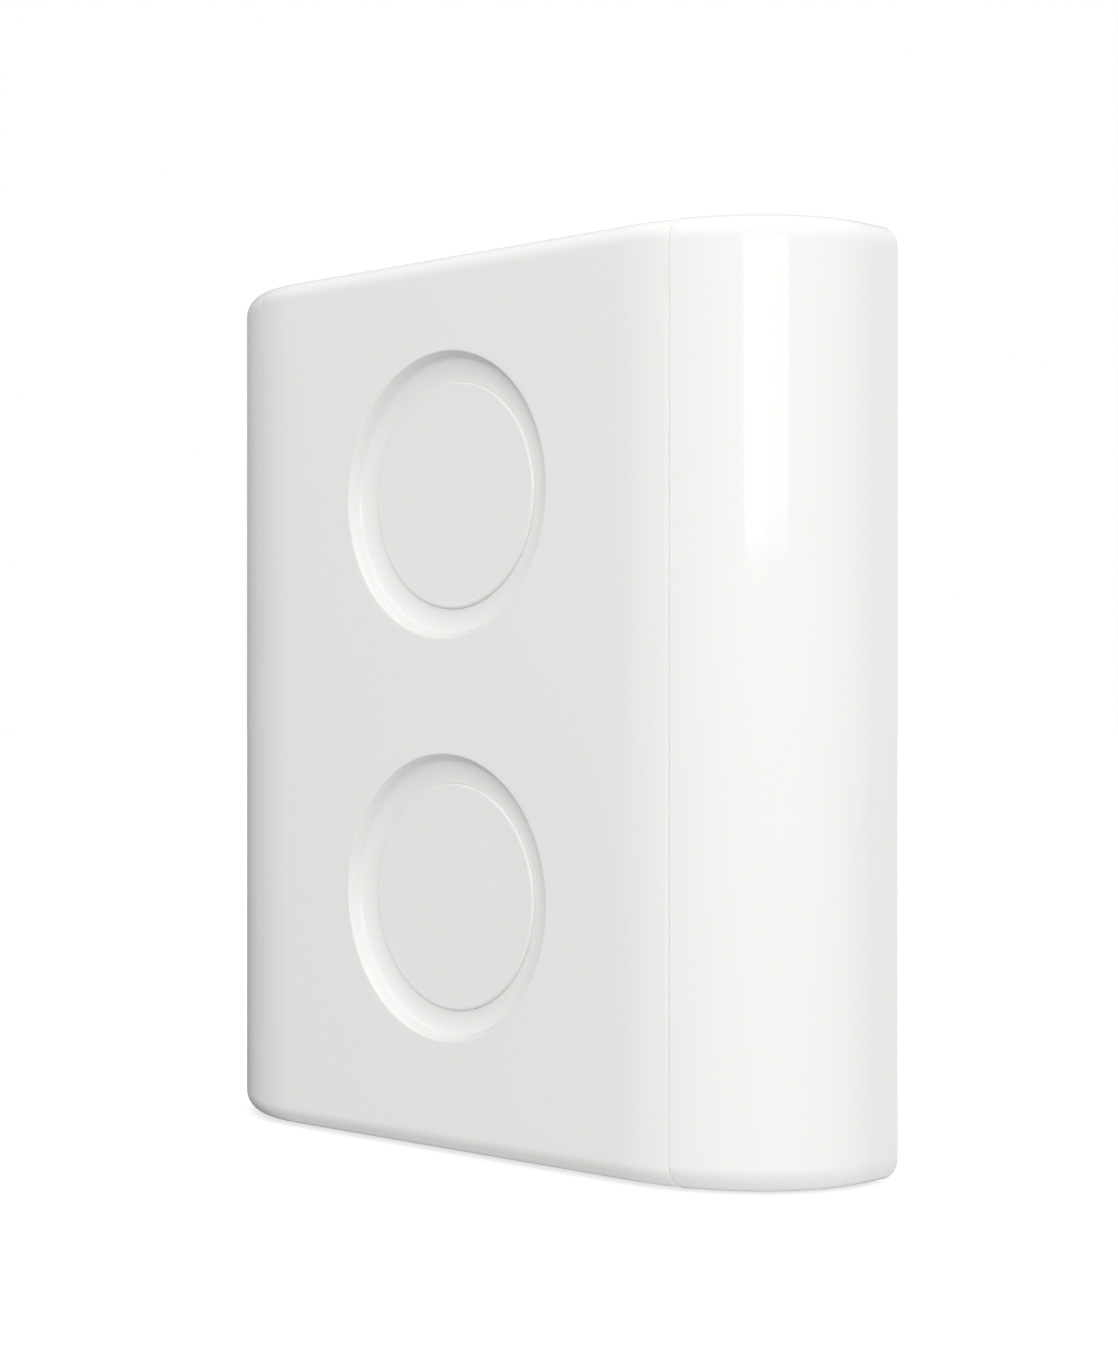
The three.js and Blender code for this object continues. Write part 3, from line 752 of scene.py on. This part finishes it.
def brushed(name, dark, light, roughness, stretch):
    """Plated metal: fine drawn streaks along X in tint, gloss and height."""
    material, nodes, links, principled = shader(name, roughness, 1.0)
    place_in = nodes.new("ShaderNodeTexCoord")
    drawn = nodes.new("ShaderNodeMapping")
    drawn.inputs["Scale"].default_value = (200.0, stretch, stretch)
    links.new(place_in.outputs["Object"], drawn.inputs["Vector"])
    streaks = nodes.new("ShaderNodeTexNoise")
    streaks.inputs["Scale"].default_value = 1.0
    streaks.inputs["Detail"].default_value = 4.0
    links.new(drawn.outputs["Vector"], streaks.inputs["Vector"])
    tint = nodes.new("ShaderNodeValToRGB")
    tint.color_ramp.elements[0].color = (*dark, 1)
    tint.color_ramp.elements[1].color = (*light, 1)
    links.new(streaks.outputs["Fac"], tint.inputs["Fac"])
    links.new(tint.outputs["Color"], principled.inputs["Base Color"])
    gloss = nodes.new("ShaderNodeMapRange")
    gloss.inputs["To Min"].default_value = roughness - 0.08
    gloss.inputs["To Max"].default_value = roughness + 0.08
    links.new(streaks.outputs["Fac"], gloss.inputs["Value"])
    links.new(gloss.outputs["Result"], principled.inputs["Roughness"])
    relief = nodes.new("ShaderNodeBump")
    relief.inputs["Strength"].default_value = 1.0
    relief.inputs["Distance"].default_value = 0.004 * MM
    links.new(streaks.outputs["Fac"], relief.inputs["Height"])
    links.new(relief.outputs["Normal"], principled.inputs["Normal"])
    return material


def sponge(name, dark, light):
    """Closed-cell foam: round cells, with painted shade that darkens their hollows."""
    material, nodes, links, principled = shader(name, 0.95)
    place_in = nodes.new("ShaderNodeTexCoord")
    cells = nodes.new("ShaderNodeTexVoronoi")
    cells.inputs["Scale"].default_value = 2600.0
    links.new(place_in.outputs["Object"], cells.inputs["Vector"])
    # Painted shade: the tint is darkest in the middle of each cell, where the bump sinks its hollow.
    tint = nodes.new("ShaderNodeValToRGB")
    tint.color_ramp.elements[0].color = (*dark, 1)
    tint.color_ramp.elements[1].color = (*light, 1)
    tint.color_ramp.elements[1].position = 0.6
    links.new(cells.outputs["Distance"], tint.inputs["Fac"])
    links.new(tint.outputs["Color"], principled.inputs["Base Color"])
    relief = nodes.new("ShaderNodeBump")
    relief.inputs["Strength"].default_value = 1.0
    relief.inputs["Distance"].default_value = 0.06 * MM
    links.new(cells.outputs["Distance"], relief.inputs["Height"])
    links.new(relief.outputs["Normal"], principled.inputs["Normal"])
    return material


def laminate(name, mask, copper):
    """Solder mask over copper: blocky pours and the lines between them show through the green."""
    material, nodes, links, principled = shader(name, 0.35)
    principled.inputs["Coat Weight"].default_value = 0.4
    place_in = nodes.new("ShaderNodeTexCoord")
    pours = nodes.new("ShaderNodeTexVoronoi")
    pours.distance = "MANHATTAN"
    pours.feature = "F2"
    pours.inputs["Scale"].default_value = 260.0
    links.new(place_in.outputs["Object"], pours.inputs["Vector"])
    tint = nodes.new("ShaderNodeValToRGB")
    tint.color_ramp.interpolation = "CONSTANT"
    tint.color_ramp.elements[0].color = (*mask, 1)
    tint.color_ramp.elements[1].color = (*copper, 1)
    tint.color_ramp.elements[1].position = 0.62
    links.new(pours.outputs["Distance"], tint.inputs["Fac"])
    links.new(tint.outputs["Color"], principled.inputs["Base Color"])
    relief = nodes.new("ShaderNodeBump")
    relief.inputs["Strength"].default_value = 1.0
    relief.inputs["Distance"].default_value = 0.02 * MM
    links.new(tint.outputs["Color"], relief.inputs["Height"])
    links.new(relief.outputs["Normal"], principled.inputs["Normal"])
    return material


# Plastics: dark and light tint, roughness and its spread, grain and cloud scale, bump in millimetres.
gloss_white = moulded(
    "gloss_white_plastic", (0.80, 0.80, 0.782), (0.806, 0.806, 0.789), 0.08, 0.02, 900.0, 0.0, 40.0
)
satin_white = moulded(
    "satin_white_plastic", (0.70, 0.70, 0.68), (0.74, 0.74, 0.72), 0.45, 0.08, 2500.0, 0.01, 60.0
)
MATERIALS = {
    "gloss_white": gloss_white,
    "satin_white": satin_white,
    "grey_plastic": moulded(
        "grey_plastic", (0.42, 0.43, 0.42), (0.47, 0.48, 0.47), 0.6, 0.1, 2200.0, 0.015, 90.0
    ),
    "silicone": moulded(
        "silicone_rubber", (0.58, 0.58, 0.55), (0.64, 0.64, 0.61), 0.72, 0.1, 1200.0, 0.01, 120.0
    ),
    "black_resin": moulded(
        "black_resin", (0.012, 0.012, 0.014), (0.024, 0.024, 0.026), 0.5, 0.12, 3000.0, 0.01, 300.0
    ),
    "clear_resin": moulded(
        "clear_resin", (0.80, 0.77, 0.64), (0.88, 0.86, 0.74), 0.2, 0.05, 1500.0, 0.0, 900.0
    ),
    # Foam: the dark tint is painted shade in the cell hollows.
    "foam": sponge("foam_tape", (0.30, 0.30, 0.28), (0.58, 0.58, 0.55)),
    "board_green": laminate("circuit_board", (0.012, 0.085, 0.035), (0.03, 0.16, 0.06)),
    "bright_metal": brushed("nickel_plate", (0.55, 0.54, 0.52), (0.74, 0.73, 0.70), 0.28, 4000.0),
    "screw_steel": brushed("zinc_plate", (0.38, 0.38, 0.40), (0.55, 0.55, 0.57), 0.36, 2500.0),
}


# ---- pieces ----
def cap_solid(height):
    """A push pad: a hub at the back, a flange that keeps it in, and a face with a rounded edge."""
    profile = [(0.0, CAP_HUB_BACK), (CAP_HUB, CAP_HUB_BACK), (CAP_HUB, CAP_FLANGE_BACK)]
    profile += [(CAP_FLANGE, CAP_FLANGE_BACK), (CAP_FLANGE, CAP_FLANGE_FRONT)]
    profile.append((CAP_RADIUS, CAP_FLANGE_FRONT))
    for turn in quarter(10):
        r = CAP_RADIUS - CAP_EDGE * (1 - math.cos(turn))
        profile.append((r, CAP_FACE + CAP_EDGE * (1 - math.sin(turn))))
    profile.append((0.0, CAP_FACE))
    return turned_solid(0.0, height, profile)


def membrane_piece(pad_place, height):
    """The silicone cup behind a cap, with a fold round its hub."""
    rear_depths = (CUP_REAR, CUP_FOLD_REAR, CUP_FOLD_REAR, CUP_REAR)
    front_depths = (CUP_SEAT, CUP_FOLD_FRONT, CUP_FOLD_FRONT, CUP_SEAT)
    profile = [(0.0, CUP_FLOOR), (CUP_HUB, CUP_FLOOR), (CUP_HUB, CUP_REAR)]
    profile += zip(CUP_FOLD, rear_depths)
    profile += [(CUP_OUT, CUP_REAR), (CUP_OUT, CUP_RIM), (CUP_WALL, CUP_RIM), (CUP_WALL, CUP_SEAT)]
    profile += zip(reversed(CUP_FOLD), front_depths)
    profile += [(CUP_HUB, CUP_SEAT), (CUP_HUB, CUP_HUB_FRONT), (0.0, CUP_HUB_FRONT)]
    membrane = loose_object(f"{pad_place}_membrane_cup", turned_solid(0.0, height, profile, 96))
    smooth(membrane)
    place(membrane, "case", "silicone", MATERIALS["silicone"], [f"{pad_place}_button_membrane"])
    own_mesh(membrane)


def front_cover_piece():
    """The cover with its screw bosses and their blind bores."""
    cover = loose_object("front_cover_shell", cover_solid())
    root = COVER_INNER - 0.4
    posts = []
    for x, z in CASE_BOSS_SPOTS:
        posts.append(rod(x, z, CASE_BOSS_RADIUS, root, CASE_BOSS_BACK, 40))
    for x, z in CARRIER_BOSS_SPOTS:
        posts.append(rod(x, z, CARRIER_BOSS_RADIUS, root, CARRIER_BOSS_BACK, 36))
    shape(cover, posts, "UNION")
    bores = [rod(x, z, PILOT_RADIUS, COVER_INNER + 2.0, 0.0, 32) for x, z in CASE_BOSS_SPOTS]
    bores += [rod(x, z, PILOT_RADIUS, COVER_INNER + 0.5, 0.0, 32) for x, z in CARRIER_BOSS_SPOTS]
    shape(cover, bores)
    smooth(cover)
    place(cover, "case", "gloss_white", gloss_white, ["front_cover"])


def hollow(inset, front, back, half_height):
    """A prism that follows the case's outline at the inset, between two depths."""
    right = []
    for turn in quarter(24):
        x, y = outline_point(turn, inset)
        if y > front:
            right.append((x, y))
    start = corner_angle_at(front, inset)
    right = [(outline_point(start, inset)[0], front)] + right
    right = [(x, y) for x, y in right if y < back] + [(HALF_WIDTH - inset, back)]
    outline = [(-x, y) for x, y in reversed(right)] + right
    return prism_xy(outline, -half_height, half_height)


def housing_cutters():
    """The tray behind the cover, the opening inside its lip and the recess at the back."""
    yield hollow(SKIN, LIP_BACK, REAR_WALL_FRONT, TRAY_IN)
    yield block(-LIP_OPENING, LIP_OPENING, LIP_FRONT - 3, LIP_BACK + 1, -TRAY_IN, TRAY_IN)
    yield hollow(SKIN, REAR_WALL_BACK, 4.0, TRAY_IN)


def back_wall_cutters():
    """The door's opening with its rebate and lug entries, the screw holes and the hook slots."""
    yield rod(0.0, BATTERY_Z, DOOR_HOLE, PAST_REAR_WALL, PAST_BACK, 128)
    yield chamfered_rod(0.0, BATTERY_Z, REBATE_RADIUS, REBATE_FLOOR, REAR_WALL_BACK, 0.25, 128)
    entry_arc = LUG_ARC + 6
    entry_back = REBATE_FLOOR + 0.5
    for angle in LUG_ANGLES:
        entry = angle - DOOR_TURN
        yield ring_sector(DOOR_SKIRT_IN, REBATE_RADIUS, entry, entry_arc, PAST_REAR_WALL, entry_back)
    for x, z in CASE_BOSS_SPOTS:
        yield rod(x, z, PILOT_RADIUS, PAST_REAR_WALL, 0.0, 40)
        yield chamfered_rod(x, z, SCREW_POCKET, SCREW_SEAT, REAR_WALL_BACK, 0.2, 56)
    for x, z in HOOK_SPOTS:
        reach = HOOK_HALF_WIDTH + 0.4
        low = z - HOOK_HALF_STEM - 3.3
        high = z + HOOK_HALF_STEM + 0.3
        slot = rectangle(x - reach, x + reach, low, high, 0.4, 4)
        yield prism_xz(slot, PAST_REAR_WALL, PAST_BACK)


def recess_ribs():
    """Low stiffening ribs on the recessed back wall, clear of the wall plate."""
    ribs = []
    front = REAR_WALL_BACK - 0.3
    back = REAR_WALL_BACK + 0.15
    for x in (-15.0, 15.0):
        ribs.append(block(x - 0.5, x + 0.5, front, back, 4.0, 38.0))
    for z in (12.0, 32.0):
        ribs.append(block(-14.0, 14.0, front, back, z - 0.5, z + 0.5))
    return ribs


def rear_housing_piece():
    """The rear housing: hollowed, given its collar and ribs, then cut for door, screws and hooks."""
    housing = loose_object("rear_housing_shell", housing_solid())
    shape(housing, housing_cutters())
    collar = rod(0.0, BATTERY_Z, COLLAR_RADIUS, REAR_WALL_FRONT - 0.5, REAR_WALL_FRONT + 0.5, 128)
    shape(housing, [collar, *recess_ribs()], "UNION")
    shape(housing, back_wall_cutters())
    smooth(housing)
    place(housing, "case", "gloss_white", gloss_white, ["rear_housing"])


def plate_cutters():
    """Window, screw slots with their countersinks, tape beds, ejector marks, up arrow and level lines."""
    yield chamfered_rod(0.0, BATTERY_Z, PLATE_WINDOW, PLATE_FRONT - 1, -0.3, 0.3, 128)
    for x, z, slide_x, slide_z in PLATE_SLOTS:
        slide = (x, z, slide_x, slide_z)
        yield slot_prism(*slide, SHANK_RADIUS, PLATE_FRONT - 1, PAST_WALL)
        yield slot_prism(*slide, HEAD_RADIUS, PLATE_FRONT - 1, PLATE_FRONT + HEAD_DEPTH)
    for x, z in TAPE_SPOTS:
        half_x = TAPE_HALF_X + 0.2
        half_z = TAPE_HALF_Z + 0.2
        bed = rectangle(x - half_x, x + half_x, z - half_z, z + half_z, 1.2)
        yield prism_xz(bed, -TAPE_DEPTH, PAST_WALL)
    for x in (-13.0, 13.0):
        for z in (6.0, 22.0):
            yield rod(x, z, 1.8, -0.12, PAST_WALL, 48)
    barb = ARROW_TIP - 3.4
    notch = (0.0, ARROW_TIP - 2.2)
    arrow = [(-ARROW_HALF_WIDTH, barb), (0.0, ARROW_TIP), (ARROW_HALF_WIDTH, barb), notch]
    yield prism_xz(arrow, -0.4, PAST_WALL)
    for z in (-3.0, 3.0):
        for x in (-30.0, 30.0):
            yield block(x - 5.0, x + 5.0, -0.25, PAST_WALL, z - 0.15, z + 0.15)


def hook_solid(x, z):
    """One hook in profile: a stem from the plate and a finger that points up, with a lead-in."""
    under = z - HOOK_HALF_STEM
    over = z + HOOK_HALF_STEM
    tip = z + HOOK_REACH
    root = PLATE_FRONT + 0.5
    side = [
        (root, under),
        (HOOK_FRONT, under),
        (HOOK_FRONT, tip - 0.5),
        (HOOK_FRONT + HOOK_LEAD, tip),
        (HOOK_BACK - HOOK_LEAD, tip),
        (HOOK_BACK, tip - 0.5),
        (HOOK_BACK, over),
        (root, over),
    ]
    solid = Solid()
    left = [(x - HOOK_HALF_WIDTH, y, h) for y, h in side]
    right = [(x + HOOK_HALF_WIDTH, y, h) for y, h in side]
    solid.loft([left, right], closed=True)
    solid.face(left)
    solid.face(right)
    return solid


def wall_plate_piece():
    """The plate on the wall with its cut-outs and four hooks."""
    low, high = (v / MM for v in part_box("wall_plate"))
    sheet = prism_xz(rectangle(low.x, high.x, low.z, high.z, 3.0, 14), PLATE_FRONT, high.y)
    plate = loose_object("wall_plate_moulding", sheet)
    shape(plate, plate_cutters())
    shape(plate, [hook_solid(x, z) for x, z in HOOK_SPOTS], "UNION")
    smooth(plate, bevel=0.15)
    place(plate, "wall_plate", "satin_white", satin_white, ["wall_plate"])


def battery_door_piece():
    """A bayonet lid: flange with a coin slot and a lock mark, a skirt and three lugs."""
    back = REAR_WALL_BACK
    groove = [(r, back - d) for r, d in DOOR_GROOVE]
    profile = [(0.0, back)] + groove + [(DOOR_FLANGE - DOOR_EDGE, back)]
    for turn in quarter(6)[1:]:
        r = DOOR_FLANGE - DOOR_EDGE * (1 - math.sin(turn))
        profile.append((r, back - DOOR_EDGE * (1 - math.cos(turn))))
    profile += [(DOOR_FLANGE, DOOR_SEAT), (DOOR_SKIRT, DOOR_SEAT), (DOOR_SKIRT, LUG_FRONT + 0.2)]
    profile += [(DOOR_SKIRT - 0.2, LUG_FRONT), (DOOR_SKIRT_IN, LUG_FRONT), (DOOR_SKIRT_IN, DOOR_SEAT)]
    profile.append((0.0, DOOR_SEAT))
    door = loose_object("battery_door_lid", turned_solid(0.0, BATTERY_Z, profile))
    lugs = []
    for angle in LUG_ANGLES:
        lugs.append(ring_sector(DOOR_SKIRT_IN + 0.4, DOOR_FLANGE, angle, LUG_ARC, LUG_FRONT, LUG_BACK))
    shape(door, lugs, "UNION")
    low = BATTERY_Z - COIN_HALF_WIDTH
    high = BATTERY_Z + COIN_HALF_WIDTH
    coin = rectangle(-COIN_HALF_LENGTH, COIN_HALF_LENGTH, low, high, COIN_HALF_WIDTH - ROUND_GIVE, 12)
    marks = [prism_xz(coin, back - 0.5, PAST_WALL)]
    foot = BATTERY_Z + DOOR_MARK_FOOT
    arrow = [(-0.9, foot), (0.9, foot), (0.0, BATTERY_Z + DOOR_MARK_TIP)]
    marks.append(prism_xz(arrow, back - 0.2, PAST_WALL))
    for angle in range(0, 360, 15):
        turn = math.radians(angle + 7.5)
        x = DOOR_NOTCH_RING * math.cos(turn)
        z = BATTERY_Z + DOOR_NOTCH_RING * math.sin(turn)
        marks.append(rod(x, z, DOOR_NOTCH, DOOR_SEAT + 0.1, PAST_WALL, 24))
    shape(door, marks)
    smooth(door)
    place(door, "battery_door", "satin_white", satin_white, ["battery_door"])


def finish_frame_nodes():
    """Every CAD node that stays in view gets its slot's material, and a fine edge where it needs one."""
    for part in frame["record"]["subparts"]:
        node = frame["nodes"][part["node"]]
        if node.hide_render:
            continue
        node.data.materials.clear()
        node.data.materials.append(MATERIALS[part["material_slot"]])
        if part["material_slot"] not in ("silicone", "board_green"):
            edge = node.modifiers.new("edge", "BEVEL")
            edge.width = 0.08 * MM
            edge.segments = 2
            edge.limit_method = "ANGLE"
            edge.angle_limit = math.radians(40)


front_cover_piece()
rear_housing_piece()

for pad_place, pad_height in PAD_HEIGHTS.items():
    cap = loose_object(f"{pad_place}_button_pad", cap_solid(pad_height))
    smooth(cap)
    place(cap, f"{pad_place}_button", "gloss_white", gloss_white, [f"{pad_place}_button_cap"])
    membrane_piece(pad_place, pad_height)

wall_plate_piece()
battery_door_piece()
finish_frame_nodes()


# ---- floor, light and camera ----
def floor_piece():
    """A pale ground just below the object that neither lights nor darkens it."""
    data = bpy.data.meshes.new("floor")
    level = cad_low.z - 0.0002
    reach = 3.0
    corners = ((-reach, -reach), (reach, -reach), (reach, reach), (-reach, reach))
    data.from_pydata([(x, y, level) for x, y in corners], [], [(0, 1, 2, 3)])
    floor = bpy.data.objects.new("floor", data)
    bpy.context.scene.collection.objects.link(floor)
    material, _, _, principled = shader("pale_floor", 0.9)
    principled.inputs["Base Color"].default_value = (0.95, 0.95, 0.95, 1)
    principled.inputs["Emission Color"].default_value = (1, 1, 1, 1)
    principled.inputs["Emission Strength"].default_value = 0.25
    data.materials.append(material)
    floor.visible_diffuse = False
    floor.visible_glossy = False
    floor.visible_shadow = False


def heading(azimuth, elevation):
    """A unit vector: azimuth from the front towards the right, then up by the elevation."""
    turn = math.radians(azimuth)
    rise = math.radians(elevation)
    return Vector((math.sin(turn) * math.cos(rise), -math.cos(turn) * math.cos(rise), math.sin(rise)))


def glow(nodes, links, azimuth, elevation, start, bright):
    """Light that grows from nothing, where the direction's cosine is start, to bright straight ahead."""
    direction = nodes.new("ShaderNodeTexCoord")
    facing = nodes.new("ShaderNodeVectorMath")
    facing.operation = "DOT_PRODUCT"
    facing.inputs[1].default_value = heading(azimuth, elevation)
    links.new(direction.outputs["Generated"], facing.inputs[0])
    level = nodes.new("ShaderNodeMapRange")
    level.inputs["From Min"].default_value = start
    level.inputs["To Max"].default_value = bright
    links.new(facing.outputs["Value"], level.inputs["Value"])
    return level


def studio_world():
    """Two soft glows light the object; the camera sees plain white behind it."""
    world = bpy.data.worlds.new("studio")
    bpy.context.scene.world = world
    world.use_nodes = True
    nodes = world.node_tree.nodes
    links = world.node_tree.links
    nodes.clear()
    output = nodes.new("ShaderNodeOutputWorld")
    room = glow(nodes, links, 64.0, 71.0, -0.77, WORLD_LIGHT)
    bounce = glow(nodes, links, 180.0, -72.0, 0.5, BOUNCE_LIGHT)
    total = nodes.new("ShaderNodeMath")
    links.new(room.outputs["Result"], total.inputs[0])
    links.new(bounce.outputs["Result"], total.inputs[1])
    soft = nodes.new("ShaderNodeBackground")
    soft.inputs["Color"].default_value = (1, 1, 1, 1)
    links.new(total.outputs["Value"], soft.inputs["Strength"])
    backdrop = nodes.new("ShaderNodeBackground")
    backdrop.inputs["Color"].default_value = (1, 1, 1, 1)
    backdrop.inputs["Strength"].default_value = 1.0
    path = nodes.new("ShaderNodeLightPath")
    choose = nodes.new("ShaderNodeMixShader")
    links.new(path.outputs["Is Camera Ray"], choose.inputs[0])
    links.new(soft.outputs[0], choose.inputs[1])
    links.new(backdrop.outputs[0], choose.inputs[2])
    links.new(choose.outputs[0], output.inputs["Surface"])


def aimed(name, azimuth, width, height, mirrored=True):
    """An area light that looks at the middle of the object from that direction."""
    data = bpy.data.lights.new(name, "AREA")
    data.shape = "RECTANGLE"
    data.size = width
    data.size_y = height
    lamp = bpy.data.objects.new(name, data)
    bpy.context.scene.collection.objects.link(lamp)
    lamp.location = heading(azimuth, KEY_ELEVATION) * KEY_DISTANCE
    lamp.rotation_euler = Vector(lamp.location).to_track_quat("Z", "Y").to_euler()
    lamp.visible_glossy = mirrored
    return data


def softbox():
    """The key light: full strength along its left part, fading towards its right edge."""
    data = aimed("softbox", KEY_AZIMUTH, KEY_WIDTH, KEY_HEIGHT)
    data.energy = KEY_POWER
    data.use_nodes = True
    nodes = data.node_tree.nodes
    links = data.node_tree.links
    across = nodes.new("ShaderNodeNewGeometry")
    part = nodes.new("ShaderNodeSeparateXYZ")
    links.new(across.outputs["Parametric"], part.inputs[0])
    fade = nodes.new("ShaderNodeValToRGB")
    for element, (position, level) in zip(fade.color_ramp.elements, KEY_ENDS):
        element.position = position
        element.color = (level, level, level, 1)
    for position, level in KEY_FADE:
        element = fade.color_ramp.elements.new(position)
        element.color = (level, level, level, 1)
    links.new(part.outputs["X"], fade.inputs["Fac"])
    links.new(fade.outputs["Color"], nodes["Emission"].inputs["Color"])


def fill_light():
    """A broad, dimmer light round the softbox that leaves no reflection of its own."""
    data = aimed("fill", FILL_AZIMUTH, FILL_SIZE, FILL_SIZE, mirrored=False)
    data.energy = FILL_POWER


def studio_camera():
    """Stands at the level of the object's middle, in front of it and to its right."""
    data = bpy.data.cameras.new("camera")
    camera = bpy.data.objects.new("camera", data)
    bpy.context.scene.collection.objects.link(camera)
    data.sensor_width = 36.0
    data.lens = CAMERA_LENS
    data.shift_y = CAMERA_SHIFT
    data.clip_start = 0.01
    data.clip_end = 20.0
    camera.location = CAMERA_PLACE
    camera.rotation_euler = (math.pi / 2, 0.0, CAMERA_TURN)
    bpy.context.scene.camera = camera


floor_piece()
studio_world()
softbox()
fill_light()
studio_camera()
bpy.context.scene.view_settings.view_transform = "Standard"
